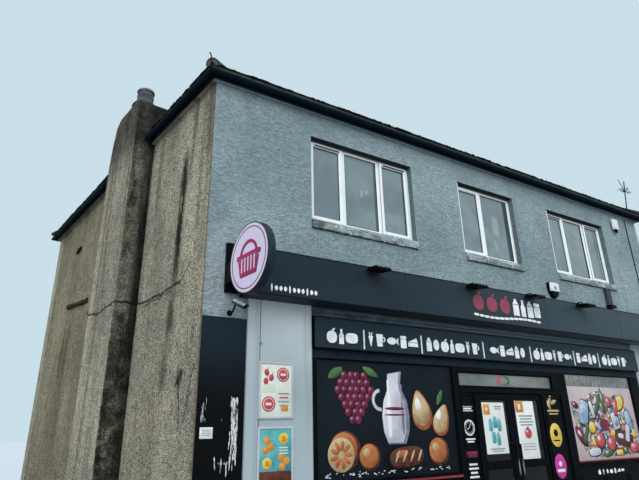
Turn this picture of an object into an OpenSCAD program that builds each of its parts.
// Corner shop: a two storey rendered building with a hipped slate roof,
// an outside chimney stack on its side wall and a timber and glass shopfront.
// Millimetres. +Z is up and the front wall faces -Y.
// The origin is at ground level in the middle of the front wall's length
// and half way back to the rear wall.

/* [Building] */
// Length of the front wall from corner to corner
front_len = 10500; // [8750:10:12600]
// Depth from the front wall to the rear wall
depth = 7800; // [6500:10:9360]
// How far the rear left corner lies outside the front left corner
side_skew = 1120; // [0:10:1400]
// Thickness of the outside walls
wall_t = 300; // [250:5:360]
// Height of the walls under the eaves
wall_h = 6160; // [6000:10:7390]

/* [Floors] */
// Height of the shop floor over the ground
slab_t = 80; // [60:5:120]
// Height of the first floor's boards over the ground
first_floor_z = 3350; // [3300:10:3800]
// Thickness of the first floor with its joists and ceiling
floor_t = 250; // [200:10:300]

/* [Roof] */
// Slope of the four roof planes in degrees
roof_pitch = 30; // [22:1:35]
// Thickness of the slates, battens and rafters together
roof_t = 60; // [50:5:100]
// How far the slates reach past the walls
slate_over = 150; // [130:5:180]
// How far the soffit board reaches past the walls
soffit_w = 65; // [50:5:80]
// Thickness of the soffit and fascia boards
board_t = 20; // [15:1:25]
// Outside radius of the half round gutter
gutter_r = 50; // [45:1:60]
// Wall of the gutter
gutter_wall = 6; // [4:1:10]
// Outside radius of the downpipe
pipe_r = 34; // [30:1:40]
// Outside radius of the round ridge and hip tiles
ridge_r = 95; // [85:5:130]

/* [Chimney] */
// Distance of the stack from the front corner along the side wall
stack_x = 2110; // [1500:10:2600]
// Width of the stack along the side wall
stack_w = 1280; // [1100:10:1400]
// How far the stack stands out of the side wall
stack_out = 340; // [250:10:420]
// How far the stack reaches in over the wall above the roof
stack_in = 220; // [100:10:280]
// Height of the stack over the eaves
stack_rise = 840; // [760:10:1000]
// Outside radius of the chimney pot
pot_r = 150; // [120:5:170]
// Height of the chimney pot
pot_h = 250; // [200:10:400]

/* [Upper windows] */
// Width of the left and right front windows
side_window_w = 1960; // [1500:10:2000]
// Width of the middle front window
mid_window_w = 1480; // [1000:10:1500]
// Height of the window openings
window_h = 1340; // [1000:10:1400]
// Height of the window openings' lower edge over the ground
window_z = 4410; // [4300:10:4600]
// Middle of the left window from the left corner
left_window_x = 2485; // [2300:5:2600]
// Middle of the right window from the right corner
right_window_x = 2445; // [2300:5:2600]
// How far the middle window sits right of the wall's middle
mid_window_shift = 40; // [0:5:100]
// Distance from a window's side to the middle of the nearest upright bar
casement_w = 630; // [450:5:650]
// Depth of the window frames behind the wall's face
reveal = 100; // [60:5:140]
// Thickness of the window frames from front to back
frame_t = 70; // [60:5:80]
// Width of the window frames' bars
frame_bar = 75; // [60:5:90]
// Thickness of the sealed glass units
glass_t = 24; // [18:1:28]
// Height of the sills
sill_h = 150; // [80:5:180]
// How far the sills stand out of the wall
sill_out = 40; // [25:5:60]

/* [Shopfront] */
// Width of the wall piers on each side of the shopfront
pier_w = 1465; // [1300:5:1500]
// Height of the wall opening for the shopfront
shop_head_z = 3100; // [3050:10:3100]
// How far the shopfront stands out of the wall's face
shop_out = 20; // [10:5:40]
// Thickness of the shopfront's frame from front to back
shop_t = 100; // [80:5:120]
// Height of the underside of the shopfront's head
head_z = 2475; // [2400:5:2500]
// Width of the frame's left jamb
left_jamb = 70; // [60:5:100]
// Width of the frame's right jamb
right_jamb = 290; // [200:5:300]
// Width of the left shop window
left_glass_w = 2380; // [1500:5:2450]
// Width of the post between the left window and the entrance
left_post_w = 100; // [80:5:150]
// Width of the post between the entrance and the right window
right_post_w = 200; // [120:5:220]
// Width of the fixed panel left of the doors
left_panel_w = 355; // [200:5:380]
// Width of the fixed panel right of the doors
right_panel_w = 540; // [300:5:560]
// Height of the panels under the shop windows
stall_top = 940; // [700:5:1000]
// Height of the rail under the shop windows
sill_rail = 60; // [40:5:90]
// Thickness of the shop window glass
shop_glass_t = 12; // [8:1:16]
// Thickness of the fixed panels
panel_t = 40; // [30:5:50]

/* [Doors] */
// Width of the doorway between its two posts
doorway_w = 1560; // [1300:5:1800]
// Height of the doorway's head over the ground
door_head_z = 2100; // [2050:5:2150]
// Width of the doorway's posts
door_post = 40; // [30:5:60]
// Thickness of the door leaves
leaf_t = 45; // [40:1:50]
// Width of the door leaves' stiles
stile_w = 85; // [60:5:110]
// Height of the door leaves' bottom rail
bottom_rail = 200; // [120:5:260]
// Height of the door leaves' middle rail
mid_rail = 90; // [60:5:120]
// Height of the middle rail over the leaf's lower edge
mid_rail_z = 930; // [800:5:1000]
// Gap at the hinge side of a leaf
hinge_gap = 6; // [5:1:8]
// Gap between the two leaves
meeting_gap = 10; // [9:1:14]
// Gap under and over the leaves
leaf_gap = 10; // [6:1:14]
// Length of the pull handles
handle_len = 400; // [300:10:500]
// Radius of the pull handles
handle_r = 12; // [10:1:16]
// Distance of the pull handles from the leaf
handle_out = 45; // [35:5:60]
// Radius of the arms that carry a leaf's pivots
pivot_arm_r = 8; // [7:1:10]
// Height of the pivot arms
pivot_arm_h = 14; // [10:1:20]
// Radius of the pivot pins
pivot_r = 5; // [4:1:6]

/* [Signs and fittings] */
// Distance of the long sign box from each front corner
fascia_inset = 450; // [200:10:500]
// Height of the long sign box's underside over the ground
fascia_z = 3137; // [3110:1:3250]
// Height of the long sign box
fascia_h = 570; // [500:10:600]
// How far the long sign box stands out of the wall
fascia_out = 330; // [250:10:360]
// Height of the lower sign board's underside over the ground
lower_sign_z = 2588; // [2560:1:2620]
// Height of the lower sign board
lower_sign_h = 412; // [380:1:440]
// Thickness of the lower sign board
lower_sign_t = 60; // [40:5:90]
// Width of the black panel at the corner
corner_panel_w = 560; // [450:5:600]
// Height of the black panel at the corner
corner_panel_h = 2880; // [2700:10:2900]
// Thickness of the black panel
corner_panel_t = 8; // [6:1:15]
// Thickness of the smooth boarding on the piers
pilaster_t = 25; // [15:5:30]
// Width of a poster frame
poster_w = 460; // [400:5:470]
// Height of a poster frame
poster_h = 650; // [600:5:700]
// Thickness of a poster frame
poster_t = 18; // [12:1:25]
// Height of the upper poster frame's top
poster_top = 2385; // [2300:5:2450]
// Gap between the two poster frames
poster_gap = 87; // [40:1:100]
// Radius of the round projecting sign
drum_r = 404; // [300:2:410]
// Thickness of the round projecting sign
drum_t = 100; // [80:5:130]
// Middle of the round sign from the front wall's face
drum_y = 764; // [720:2:800]
// Middle of the round sign over the ground
drum_z = 3399; // [3350:1:3430]

/* [Hidden] */
$fn = 48;

// Cuts run this far past the faces that they cut through
past = 10;
// Larger than the whole building
big = 20000;
// Faces that meet along the skewed side wall are kept this far apart
contact = 0.05;
// Half of the gap between two lengths of board or gutter that meet at a corner
corner_joint = 1.5;

side_len = sqrt(depth * depth + side_skew * side_skew);
side_angle = atan2(depth, -side_skew);

// The left wall's outside line, moved out by o, at the depth y
function left_x(y, o) = -front_len / 2 - (y + depth / 2) * side_skew / depth - o * side_len / depth;

// The building's outline in plan, moved out by o
function outline(o) = [
    [left_x(-depth / 2 - o, o), -depth / 2 - o],
    [front_len / 2 + o, -depth / 2 - o],
    [front_len / 2 + o, depth / 2 + o],
    [left_x(depth / 2 + o, o), depth / 2 + o]
];

// The part of the outline moved out by o that lies between two depths
function band(o, y0, y1) = [
    [left_x(y0, o), y0], [front_len / 2 + o, y0],
    [front_len / 2 + o, y1], [left_x(y1, o), y1]
];

// Heights of the roof
slate_drop = roof_t / cos(roof_pitch);
fascia_board_h = 118;
gutter_drop = 43;
slate_edge_z = wall_h - board_t + fascia_board_h + slate_drop
    - (slate_over - soffit_w - board_t) * tan(roof_pitch);
roof_under_wall = slate_edge_z - slate_drop + slate_over * tan(roof_pitch);
function roof_z(inward) = slate_edge_z + (slate_over + inward) * tan(roof_pitch);
ridge_left = [left_x(0, -depth / 2), 0];
ridge_right = [front_len / 2 - depth / 2, 0];
ridge_z = roof_z(depth / 2);
gutter_z = wall_h - board_t + fascia_board_h - gutter_drop;

// Frames to build in: x runs along a wall, -y points out of it and z is up
module on_front() {
    translate([-front_len / 2, -depth / 2, 0]) children();
}
module on_rear() {
    translate([front_len / 2, depth / 2, 0]) rotate(180) children();
}
// Here x runs back along the side wall from the front corner, and +y points out
module on_side() {
    translate([-front_len / 2, -depth / 2, 0]) rotate(side_angle) children();
}

// A plan outline raised between two heights
module prism(points, z0, z1) {
    translate([0, 0, z0]) linear_extrude(z1 - z0) polygon(points);
}
// A box between two corners
module block(a, b) {
    translate(a) cube(b - a);
}
// A round bar between two points
module bar(a, b, r, sides = 24) {
    d = b - a;
    translate(a)
        rotate([0, acos(d[2] / norm(d)), atan2(d[1], d[0])])
            cylinder(h = norm(d), r = r, $fn = sides);
}

// Windows of the upper storey: middle and width of each
front_windows = [
    [left_window_x, side_window_w],
    [front_len / 2 + mid_window_shift, mid_window_w],
    [front_len - right_window_x, side_window_w]
];
rear_windows = [for (k = [1, 3, 5]) [k * front_len / 6, mid_window_w]];
// The rear wall's ground floor: one door and one window
rear_door_x = front_len * 0.34;
rear_door_w = 900;
rear_door_h = 2050;
rear_low_x = front_len * 0.68;
rear_low_z = 1250;
rear_low_h = 1050;

mullion = frame_bar + 15;
pane_y = reveal + (frame_t - glass_t) / 2;
// A wide window has a casement on each side of a fixed light, and a narrow one has a casement on the left
three_light_w = 1490;
function mullions(w) = w > three_light_w ? [casement_w, w - casement_w] : [casement_w];
// The left and right edges of the lights between the bars
function lights(w) = let(at = mullions(w), n = len(at)) [
    for (k = [0 : n]) [
        k == 0 ? frame_bar : at[k - 1] + mullion / 2,
        k == n ? w - frame_bar : at[k] - mullion / 2
    ]
];
module window_hole(x, w, z, h) {
    block([x - w / 2, -past, z], [x + w / 2, wall_t + past, z + h]);
    block([x - w / 2, -past, z - sill_h], [x + w / 2, reveal + frame_t, z + past]);
}
module window_lights(x, w, z, h, y0, y1) {
    for (edge = lights(w))
        block([x - w / 2 + edge[0], y0, z + frame_bar], [x - w / 2 + edge[1], y1, z + h - frame_bar]);
}
module window_frame(x, w, z, h) {
    difference() {
        block([x - w / 2, reveal, z], [x + w / 2, reveal + frame_t, z + h]);
        window_lights(x, w, z, h, reveal - past, reveal + frame_t + past);
    }
}
module window_panes(x, w, z, h) {
    window_lights(x, w, z, h, pane_y, pane_y + glass_t);
}
module sill(x, w, z) {
    block([x - w / 2, -sill_out, z - sill_h], [x + w / 2, reveal + frame_t, z]);
}

// Walls
module front_wall() {
    color("lightslategray") difference() {
        prism(band(0, -depth / 2, -depth / 2 + wall_t), shop_head_z, wall_h);
        on_front() for (w = front_windows) window_hole(w[0], w[1], window_z, window_h);
    }
}
module front_piers() {
    color("lightslategray") intersection() {
        prism(band(0, -depth / 2, -depth / 2 + wall_t), 0, shop_head_z);
        on_front() {
            block([-big, -past, -past], [pier_w, wall_t + past, shop_head_z + past]);
            block([front_len - pier_w, -past, -past], [big, wall_t + past, shop_head_z + past]);
        }
    }
}
module left_wall() {
    y0 = -depth / 2 + wall_t;
    y1 = depth / 2 - wall_t;
    color("tan") prism([[left_x(y0, 0), y0], [left_x(y0, -wall_t), y0],
        [left_x(y1, -wall_t), y1], [left_x(y1, 0), y1]], 0, wall_h);
}
module right_wall() {
    color("tan") block([front_len / 2 - wall_t, -depth / 2 + wall_t, 0],
        [front_len / 2, depth / 2 - wall_t, wall_h]);
}
module rear_wall_lower() {
    color("tan") difference() {
        prism(band(0, depth / 2 - wall_t, depth / 2), 0, shop_head_z);
        on_rear() {
            window_hole(rear_low_x, mid_window_w, rear_low_z, rear_low_h);
            block([rear_door_x - rear_door_w / 2, -past, slab_t],
                [rear_door_x + rear_door_w / 2, wall_t + past, slab_t + rear_door_h]);
        }
    }
}
module rear_wall_upper() {
    color("tan") difference() {
        prism(band(0, depth / 2 - wall_t, depth / 2), shop_head_z, wall_h);
        on_rear() for (w = rear_windows) window_hole(w[0], w[1], window_z, window_h);
    }
}

// Floors
module ground_floor() {
    color("silver") {
        prism(outline(-wall_t), 0, slab_t);
        on_front() block([pier_w, -shop_out, 0], [front_len - pier_w, wall_t + past, slab_t]);
    }
}
module upper_floor() {
    color("burlywood") prism(outline(-wall_t), first_floor_z - floor_t, first_floor_z);
}
// The ceiling lies on the wall heads and its edge carries the rafters
module ceiling() {
    color("whitesmoke") prism(outline(0), wall_h, roof_under_wall);
}

// Roof: a slab that rises inwards from the line through a corner of the eaves
module slope_slab(corner, turn, thick) {
    translate([corner[0], corner[1], slate_edge_z]) rotate(turn) rotate([roof_pitch, 0, 0])
        translate([-big, -slate_over, -thick]) cube([2 * big, big, thick]);
}
module roof_plane(points, turn) {
    color("dimgray") difference() {
        intersection() {
            prism(points, wall_h - past, ridge_z + past);
            slope_slab(points[0], turn, roof_t);
        }
        stack_hole();
    }
}
module stack_hole() {
    on_side() block([stack_x, 0, 0], [stack_x + stack_w, big / 10, big / 2]);
}
eaves = outline(slate_over);
front_turn = 0;
right_turn = 90;
rear_turn = 180;
left_turn = side_angle + 180;
module roof_front() { roof_plane([eaves[0], eaves[1], ridge_right, ridge_left], front_turn); }
module roof_right() { roof_plane([eaves[1], eaves[2], ridge_right], right_turn); }
module roof_rear() { roof_plane([eaves[2], eaves[3], ridge_left, ridge_right], rear_turn); }
module roof_left() { roof_plane([eaves[3], eaves[0], ridge_left], left_turn); }

// Everything under the four roof planes
module under_roof() {
    intersection() {
        slope_slab(eaves[0], front_turn, big / 2);
        slope_slab(eaves[1], right_turn, big / 2);
        slope_slab(eaves[2], rear_turn, big / 2);
        slope_slab(eaves[3], left_turn, big / 2);
    }
}
// The hip tiles stop this far short of the ridge's end
tile_end = 190;
module ridge_and_hip_tiles() {
    left_end = [ridge_left[0], ridge_left[1], ridge_z];
    right_end = [ridge_right[0], ridge_right[1], ridge_z];
    color("darkslategray") difference() {
        union() {
            bar(left_end, right_end, ridge_r, 48);
            for (k = [0 : 3]) {
                end = (k == 0 || k == 3) ? left_end : right_end;
                low = [eaves[k][0], eaves[k][1], slate_edge_z];
                run = end - low;
                bar(low, end - run * tile_end / norm(run), ridge_r, 48);
            }
        }
        under_roof();
    }
}

// Boards and gutters round the eaves: one length on each side, mitred at the corners
// and stopped on each side of the chimney stack
module eaves_length(k, o0, o1, z0, z1) {
    inner = outline(o0);
    outer = outline(o1);
    n = (k + 1) % 4;
    step = (inner[n] - inner[k]) / norm(inner[n] - inner[k]) * corner_joint;
    prism([inner[k] + step, outer[k] + step, outer[n] - step, inner[n] - step], z0, z1);
}
module soffit_boards() {
    color("black") difference() {
        for (k = [0 : 3]) eaves_length(k, contact, soffit_w - contact, wall_h - board_t, wall_h);
        stack_hole();
    }
}
module fascia_boards() {
    color("black") difference() {
        for (k = [0 : 3]) eaves_length(k, soffit_w, soffit_w + board_t,
            wall_h - board_t, wall_h - board_t + fascia_board_h);
        stack_hole();
    }
}
module gutter_run(corner, turn) {
    translate([corner[0], corner[1], gutter_z]) rotate(turn) rotate([90, 0, 90])
        translate([-gutter_r, 0, -big]) linear_extrude(2 * big) difference() {
            circle(gutter_r, $fn = 12);
            circle(gutter_r - gutter_wall, $fn = 12);
            translate([-big, 0]) square(2 * big);
        }
}
module gutters() {
    wall_line = outline(soffit_w + board_t);
    turns = [front_turn, right_turn, rear_turn, left_turn];
    color("black") difference() {
        for (k = [0 : 3]) intersection() {
            gutter_run(wall_line[k], turns[k]);
            eaves_length(k, soffit_w + board_t, soffit_w + board_t + 2 * gutter_r,
                gutter_z - gutter_r - past, gutter_z + past);
        }
        stack_hole();
    }
}
gutter_mid = soffit_w + board_t + gutter_r;
pipe_x = 350;
pipe_gap = 20;
pipe_outlet = 60;
pipe_bend_drop = 350;
pipe_foot_z = 120;
clip_heights = [900, 2700, 4500];
clip_h = 30;
clip_t = 8;
clip_ear = 15;
// The elbows are this much wider than the pipe
elbow = 6;
// The downpipe hangs under the rear gutter and bends back to the wall
module downpipe() {
    wall_line = pipe_r + pipe_gap;
    top = [pipe_x, -gutter_mid, gutter_z - gutter_r - pipe_outlet];
    low = [pipe_x, -wall_line, wall_h - pipe_bend_drop];
    color("black") on_rear() {
        bar([pipe_x, -gutter_mid, gutter_z - gutter_r], top, pipe_r);
        translate(top) sphere(pipe_r + elbow);
        bar(top, low, pipe_r);
        translate(low) sphere(pipe_r + elbow);
        bar(low, [pipe_x, -wall_line, pipe_foot_z], pipe_r);
        for (z = clip_heights)
            block([pipe_x - pipe_r - clip_ear, -wall_line - clip_t, z],
                [pipe_x + pipe_r + clip_ear, 0, z + clip_h]);
    }
}

// Chimney: the stack stands against the side wall and leans in at the top
stack_top = wall_h + stack_rise;
stack_rear = stack_x + stack_w;
lean_start = stack_top - 860;
lean_end = stack_top - 120;
lean = 150;
rear_cap = 430;
front_cap = 130;
front_cap_drop = 90;
module stack_profile() {
    polygon([
        [stack_x, 0], [stack_rear, 0], [stack_rear, lean_start],
        [stack_rear - lean, lean_end], [stack_rear - rear_cap, stack_top],
        [stack_x + front_cap, stack_top], [stack_x, stack_top - front_cap_drop]
    ]);
}
pot_setback = 300;
pot_edge = 40;
pot_x = stack_x + pot_setback;
pot_y = stack_out - pot_edge - pot_r;
pot_rim_h = 60;
pot_rim = 8;
pot_wall = 35;
pot_base = 30;
flaunching_h = 60;
flaunching_foot = 40;
flaunching_top = 20;
module chimney_stack() {
    color("rosybrown") {
        difference() {
            on_side() translate([0, stack_out, 0]) rotate([90, 0, 0])
                linear_extrude(stack_out) stack_profile();
            prism(outline(contact), -past, roof_under_wall);
        }
        difference() {
            on_side() translate([0, past, 0]) rotate([90, 0, 0])
                linear_extrude(past + stack_in) intersection() {
                    stack_profile();
                    translate([0, wall_h]) square(big);
                }
            under_roof();
            prism(outline(contact), 0, roof_under_wall);
        }
        on_side() translate([pot_x, pot_y, stack_top])
            cylinder(h = flaunching_h, r1 = pot_r + flaunching_foot, r2 = pot_r + flaunching_top);
    }
}
module chimney_pot() {
    color("rosybrown") on_side() translate([pot_x, pot_y, stack_top + flaunching_h]) difference() {
        union() {
            cylinder(h = pot_h, r = pot_r - pot_rim);
            translate([0, 0, pot_h - pot_rim_h]) cylinder(h = pot_rim_h, r = pot_r);
        }
        translate([0, 0, pot_base]) cylinder(h = pot_h, r = pot_r - pot_wall);
    }
}

// A curled iron hook that holds the lowest hip tile at the front left corner
hook_r = 35;
hook_rod = 9;
hook_out = 50;
hook_rise = 75;
hook_arc = 120;
strap_w = 28;
strap_t = 10;
strap_low = -60;
strap_top = -10;
hook_z = -30;
module hip_iron() {
    out = atan2(eaves[0][1] - ridge_left[1], eaves[0][0] - ridge_left[0]);
    color("black") translate([eaves[0][0], eaves[0][1], slate_edge_z]) rotate(out) {
        block([0, -strap_w / 2, strap_low], [strap_t, strap_w / 2, strap_top]);
        bar([strap_t / 2, 0, hook_z], [hook_out, 0, hook_z], hook_rod);
        translate([hook_out, 0, hook_z]) sphere(hook_rod + 2);
        bar([hook_out, 0, hook_z], [hook_out, 0, hook_rise], hook_rod);
        translate([hook_out + hook_r, 0, hook_rise]) rotate([90, 0, 0]) rotate(180 - hook_arc)
            rotate_extrude(angle = hook_arc) translate([hook_r, 0]) circle(hook_rod);
    }
}

// The aerial's mast stands on the roof's front right corner
mast_inset = 300;
mast_x = front_len - mast_inset;
mast_y = -60;
mast_h = 840;
mast_lean = 190;
mast_r = 14;
base_plate = 90;
base_t = 14;
boom_place = 0.68;
boom_half = 230;
boom_r = 9;
stay = [-200, 0, 260];
stay_r = 8;
loop_x = 220;
loop_half = 90;
loop_r = 7;
module tv_aerial() {
    foot = [mast_x, mast_y, roof_z(mast_y)];
    tip = foot + [mast_lean, 0, mast_h];
    boom = foot + (tip - foot) * boom_place;
    color("gray") on_front() {
        translate(foot) rotate([roof_pitch, 0, 0])
            translate([-base_plate / 2, -base_plate / 2, 0]) cube([base_plate, base_plate, base_t]);
        bar(foot + [0, 0, base_t], tip, mast_r);
        bar(boom - [boom_half, 0, 0], boom + [boom_half, 0, 0], boom_r);
        bar(boom, boom + stay, stay_r);
        for (s = [-1, 1]) bar(boom + [s * loop_x, -loop_half, 0], boom + [s * loop_x, loop_half, 0], loop_r);
    }
}

// Windows
module window_frames() {
    color("white") {
        on_front() for (w = front_windows) window_frame(w[0], w[1], window_z, window_h);
        on_rear() {
            for (w = rear_windows) window_frame(w[0], w[1], window_z, window_h);
            window_frame(rear_low_x, mid_window_w, rear_low_z, rear_low_h);
        }
    }
}
module window_glass() {
    color("lightblue") {
        on_front() for (w = front_windows) window_panes(w[0], w[1], window_z, window_h);
        on_rear() {
            for (w = rear_windows) window_panes(w[0], w[1], window_z, window_h);
            window_panes(rear_low_x, mid_window_w, rear_low_z, rear_low_h);
        }
    }
}
module window_sills() {
    color("gray") {
        on_front() for (w = front_windows) sill(w[0], w[1], window_z);
        on_rear() {
            for (w = rear_windows) sill(w[0], w[1], window_z);
            sill(rear_low_x, mid_window_w, rear_low_z);
        }
    }
}
// The rear door fills its frame and stays shut
door_frame_bar = 60;
door_recess = 20;
door_sill = 30;
module rear_door() {
    x0 = rear_door_x - rear_door_w / 2;
    x1 = rear_door_x + rear_door_w / 2;
    top = slab_t + rear_door_h;
    color("slategray") on_rear() difference() {
        block([x0, reveal, slab_t], [x1, reveal + frame_t, top]);
        block([x0 + door_frame_bar, reveal - past, slab_t + door_sill],
            [x1 - door_frame_bar, reveal + door_recess, top - door_frame_bar]);
    }
}

// Shopfront: where each upright stands, measured from the left corner
shop_left = pier_w;
shop_right = front_len - pier_w;
left_glass_x = shop_left + left_jamb;
bay_left = left_glass_x + left_glass_w + left_post_w;
door_left = bay_left + left_panel_w;
door_right = door_left + doorway_w;
bay_right = door_right + right_panel_w;
right_glass_x = bay_right + right_post_w;
right_glass_w = shop_right - right_jamb - right_glass_x;
shop_back = shop_t - shop_out;
glass_z = stall_top + sill_rail;
transom_rail = 90;
transom_head = 75;
transom_left_bar = 30;
transom_right_bar = 190;
transom_z = door_head_z + transom_rail;
transom_top = head_z - transom_head;

module shopfront_head() {
    color("darkslategray") on_front()
        block([shop_left, -shop_out, head_z], [shop_right, shop_back, shop_head_z]);
}
// A window frame of two uprights and the rail between them
module shop_frame(x0, glass_x, glass_w, x1) {
    difference() {
        block([x0, -shop_out, slab_t], [x1, shop_back, head_z]);
        block([glass_x, -shop_out - past, glass_z], [glass_x + glass_w, shop_back + past, head_z + past]);
        block([glass_x, -shop_out - past, 0], [glass_x + glass_w, shop_back + past, stall_top]);
    }
}
module shop_window_frames() {
    color("darkslategray") on_front() {
        shop_frame(shop_left, left_glass_x, left_glass_w, bay_left);
        shop_frame(bay_right, right_glass_x, right_glass_w, shop_right);
    }
}
glass_y = 20;
module shop_pane(x0, x1, z0, z1) {
    block([x0, glass_y, z0], [x1, glass_y + shop_glass_t, z1]);
}
module shop_glass() {
    color("lightblue") on_front() {
        shop_pane(left_glass_x, left_glass_x + left_glass_w, glass_z, head_z);
        shop_pane(right_glass_x, right_glass_x + right_glass_w, glass_z, head_z);
        shop_pane(bay_left + transom_left_bar, bay_right - transom_right_bar, transom_z, transom_top);
    }
}
// Panels under the two windows and on each side of the doors
module shop_panels() {
    color("black") on_front() {
        block([left_glass_x, 0, slab_t], [left_glass_x + left_glass_w, panel_t, stall_top]);
        block([right_glass_x, 0, slab_t], [right_glass_x + right_glass_w, panel_t, stall_top]);
        block([bay_left, 0, slab_t], [door_left - door_post, panel_t, door_head_z]);
        block([door_right + door_post, 0, slab_t], [bay_right, panel_t, door_head_z]);
    }
}
module door_posts() {
    color("darkslategray") on_front() {
        block([door_left - door_post, -shop_out, slab_t], [door_left, shop_back, door_head_z]);
        block([door_right, -shop_out, slab_t], [door_right + door_post, shop_back, door_head_z]);
    }
}
module transom_frame() {
    color("darkslategray") on_front() difference() {
        block([bay_left, -shop_out, door_head_z], [bay_right, shop_back, head_z]);
        block([bay_left + transom_left_bar, -shop_out - past, transom_z],
            [bay_right - transom_right_bar, shop_back + past, transom_top]);
    }
}

// Doors: built with the hinge side at x = 0, the other leaf is a mirror image
leaf_w = (doorway_w - meeting_gap) / 2 - hinge_gap;
leaf_z = slab_t + leaf_gap;
leaf_h = door_head_z - leaf_gap - leaf_z;
module leaf_openings(depth0, depth1) {
    block([stile_w, depth0, bottom_rail], [leaf_w - stile_w, depth1, mid_rail_z]);
    block([stile_w, depth0, mid_rail_z + mid_rail], [leaf_w - stile_w, depth1, leaf_h - stile_w]);
}
handle_drop = 100;
handle_end = 30;
stem_r = handle_r - 3;
module pull_handle(y_face, y_bar) {
    x = leaf_w - stile_w / 2;
    z0 = mid_rail_z - handle_drop;
    for (z = [z0, z0 + handle_len]) bar([x, y_face, z], [x, y_bar, z], stem_r);
    bar([x, y_bar, z0 - handle_end], [x, y_bar, z0 + handle_len + handle_end], handle_r);
}
module leaf_handles() {
    pull_handle(0, -handle_out);
    pull_handle(leaf_t, leaf_t + handle_out);
}
// The leaf turns on two pins that stand on arms behind its heel
pivot_x = pivot_arm_r;
pivot_y = leaf_t + pivot_arm_r;
pivot_play = 0.3;
// The pivot arms are let this far into the leaf
arm_root = 1;
module pivot_arm(z) {
    translate([pivot_x, pivot_y, z]) cylinder(h = pivot_arm_h, r = pivot_arm_r);
    block([pivot_x / 2, leaf_t - arm_root, z], [pivot_x + 3 * pivot_arm_r, pivot_y, z + pivot_arm_h]);
}
module pivot_pin(z) {
    translate([pivot_x, pivot_y, z]) cylinder(h = leaf_gap, r = pivot_r);
}
module leaf() {
    difference() {
        block([0, 0, 0], [leaf_w, leaf_t, leaf_h]);
        leaf_openings(-past, leaf_t + past);
    }
    pivot_arm(0);
    pivot_arm(leaf_h - pivot_arm_h);
    pivot_pin(pivot_play - leaf_gap);
    pivot_pin(leaf_h - pivot_play);
}
module leaf_glass() {
    intersection() {
        block([0, (leaf_t - shop_glass_t) / 2, 0], [leaf_w, (leaf_t + shop_glass_t) / 2, leaf_h]);
        leaf_openings(0, leaf_t);
    }
}
module left_leaf_place() {
    on_front() translate([door_left + hinge_gap, 0, leaf_z]) children();
}
module right_leaf_place() {
    on_front() translate([door_right - hinge_gap, 0, leaf_z]) mirror([1, 0, 0]) children();
}
module left_door() { color("dimgray") left_leaf_place() leaf(); }
module left_door_glass() { color("lightblue") left_leaf_place() leaf_glass(); }
module left_door_handles() { color("silver") left_leaf_place() leaf_handles(); }
module right_door() { color("dimgray") right_leaf_place() leaf(); }
module right_door_glass() { color("lightblue") right_leaf_place() leaf_glass(); }
module right_door_handles() { color("silver") right_leaf_place() leaf_handles(); }

// Signs
fascia_top = fascia_z + fascia_h;
module long_sign() {
    color("slategray") on_front()
        block([fascia_inset, -fascia_out, fascia_z], [front_len - fascia_inset, 0, fascia_top]);
}
// Flat lamps that hang in front of the sign box, each on a bent arm from the box's top
light_xs = [2280, 4180, 5570, 7000];
light_w = 240;
light_d = 250;
light_h = 45;
light_gap = 15;
light_drop = 85;
arm_w = 40;
arm_t = 12;
arm_back = 80;
arm_front = 90;
module sign_lights() {
    color("black") on_front() for (x = light_xs) translate([x, -fascia_out, fascia_top]) {
        block([-light_w / 2, -light_gap - light_d, -light_drop], [light_w / 2, -light_gap, light_h - light_drop]);
        block([-arm_w / 2, -arm_front, 0], [arm_w / 2, arm_back, arm_t]);
        block([-arm_w / 2, -arm_front, light_h - light_drop - past], [arm_w / 2, arm_t - arm_front, past]);
    }
}
module lower_sign() {
    color("dimgray") on_front() block([shop_left, -shop_out - lower_sign_t, lower_sign_z],
        [shop_right, -shop_out, lower_sign_z + lower_sign_h]);
}

// Panels on the piers
module corner_panel() {
    color("black") on_front() block([0, -corner_panel_t, 0], [corner_panel_w, 0, corner_panel_h]);
}
module pilasters() {
    color("lightsteelblue") on_front() {
        block([corner_panel_w, -pilaster_t, 0], [pier_w, 0, fascia_z]);
        block([front_len - pier_w, -pilaster_t, 0], [front_len, 0, fascia_z]);
    }
}
poster_x = 730;
module poster_frames() {
    color("white") on_front() for (k = [0, 1])
        translate([poster_x, -pilaster_t - poster_t, poster_top - poster_h - k * (poster_h + poster_gap)])
            cube([poster_w, poster_t, poster_h]);
}

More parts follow.
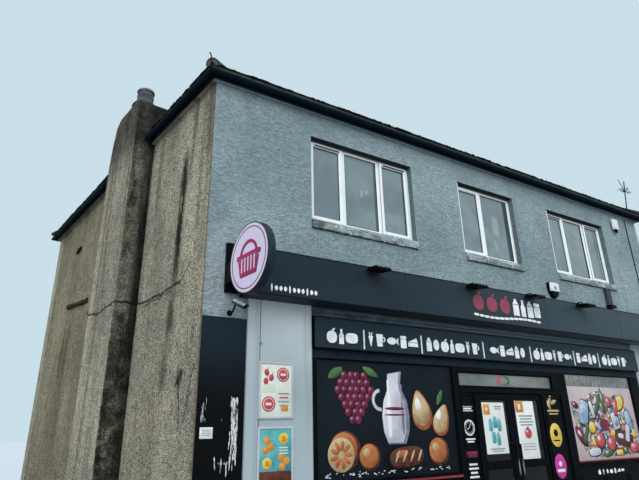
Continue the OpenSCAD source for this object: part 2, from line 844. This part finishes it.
// The round sign juts out of the wall, a little turned, on a bracket from a tall flat box
drum_x = 270;
drum_turn = 7;
box_x = 250;
box_w = 180;
box_d = 45;
box_h = 630;
box_drop = 221;
bracket_w = 60;
bracket_half = 130;
bracket_lap = 60;
module round_sign() {
    inner = drum_y - drum_r;
    color("plum") on_front() {
        translate([drum_x, -drum_y, drum_z]) rotate(drum_turn) translate([-drum_t / 2, 0, 0]) rotate([0, 90, 0])
            cylinder(h = drum_t, r = drum_r, $fn = 96);
        block([box_x, -inner - bracket_lap, drum_z - bracket_half], [box_x + bracket_w, 0, drum_z + bracket_half]);
        block([box_x, -box_d, drum_z - box_drop], [box_x + box_w, 0, drum_z - box_drop + box_h]);
    }
}
// A camera in a tube, on an arm from a plate above the black panel
plate = [335, 0, 2935];
plate_half = 35;
plate_t = 10;
camera_arm_end = [-13, -230, 70];
camera_arm_r = 14;
camera_back = [-25, -190, 100];
camera_front = [35, -400, -5];
camera_r = 34;
module cctv_camera() {
    color("silver") on_front() {
        block(plate - [plate_half, plate_t, plate_half], plate + [plate_half, 0, plate_half]);
        bar(plate - [0, plate_t / 2, 0], plate + camera_arm_end, camera_arm_r);
        bar(plate + camera_back, plate + camera_front, camera_r);
    }
}
// Fittings on the front wall: lower left corner at the wall, and width, depth and height
module fitting(corner, size) {
    on_front() block([corner[0], -size[1], corner[1]], [corner[0] + size[0], 0, corner[1] + size[2]]);
}
alarm_at = [6640, 3840];
alarm_size = [270, 85, 300];
module alarm_box() { color("white") fitting(alarm_at, alarm_size); }
flood_at = [9400, 5740];
flood_size = [200, 100, 260];
module flood_light() { color("white") fitting(flood_at, flood_size); }
duct_at = [8540, 3900];
duct_size = [160, 60, 350];
duct_foot = [200, 110, 60];
module vent_duct() {
    color("gray") {
        fitting(duct_at, duct_size);
        fitting(duct_at - [(duct_foot[0] - duct_size[0]) / 2, duct_foot[2]], duct_foot);
    }
}

front_wall();
front_piers();
left_wall();
right_wall();
rear_wall_lower();
rear_wall_upper();
ground_floor();
upper_floor();
ceiling();
roof_front();
roof_right();
roof_rear();
roof_left();
ridge_and_hip_tiles();
soffit_boards();
fascia_boards();
gutters();
downpipe();
chimney_stack();
chimney_pot();
hip_iron();
tv_aerial();
window_frames();
window_glass();
window_sills();
rear_door();
shopfront_head();
shop_window_frames();
shop_glass();
shop_panels();
door_posts();
transom_frame();
left_door();
left_door_glass();
left_door_handles();
right_door();
right_door_glass();
right_door_handles();
long_sign();
sign_lights();
lower_sign();
corner_panel();
pilasters();
poster_frames();
round_sign();
cctv_camera();
alarm_box();
flood_light();
vent_duct();
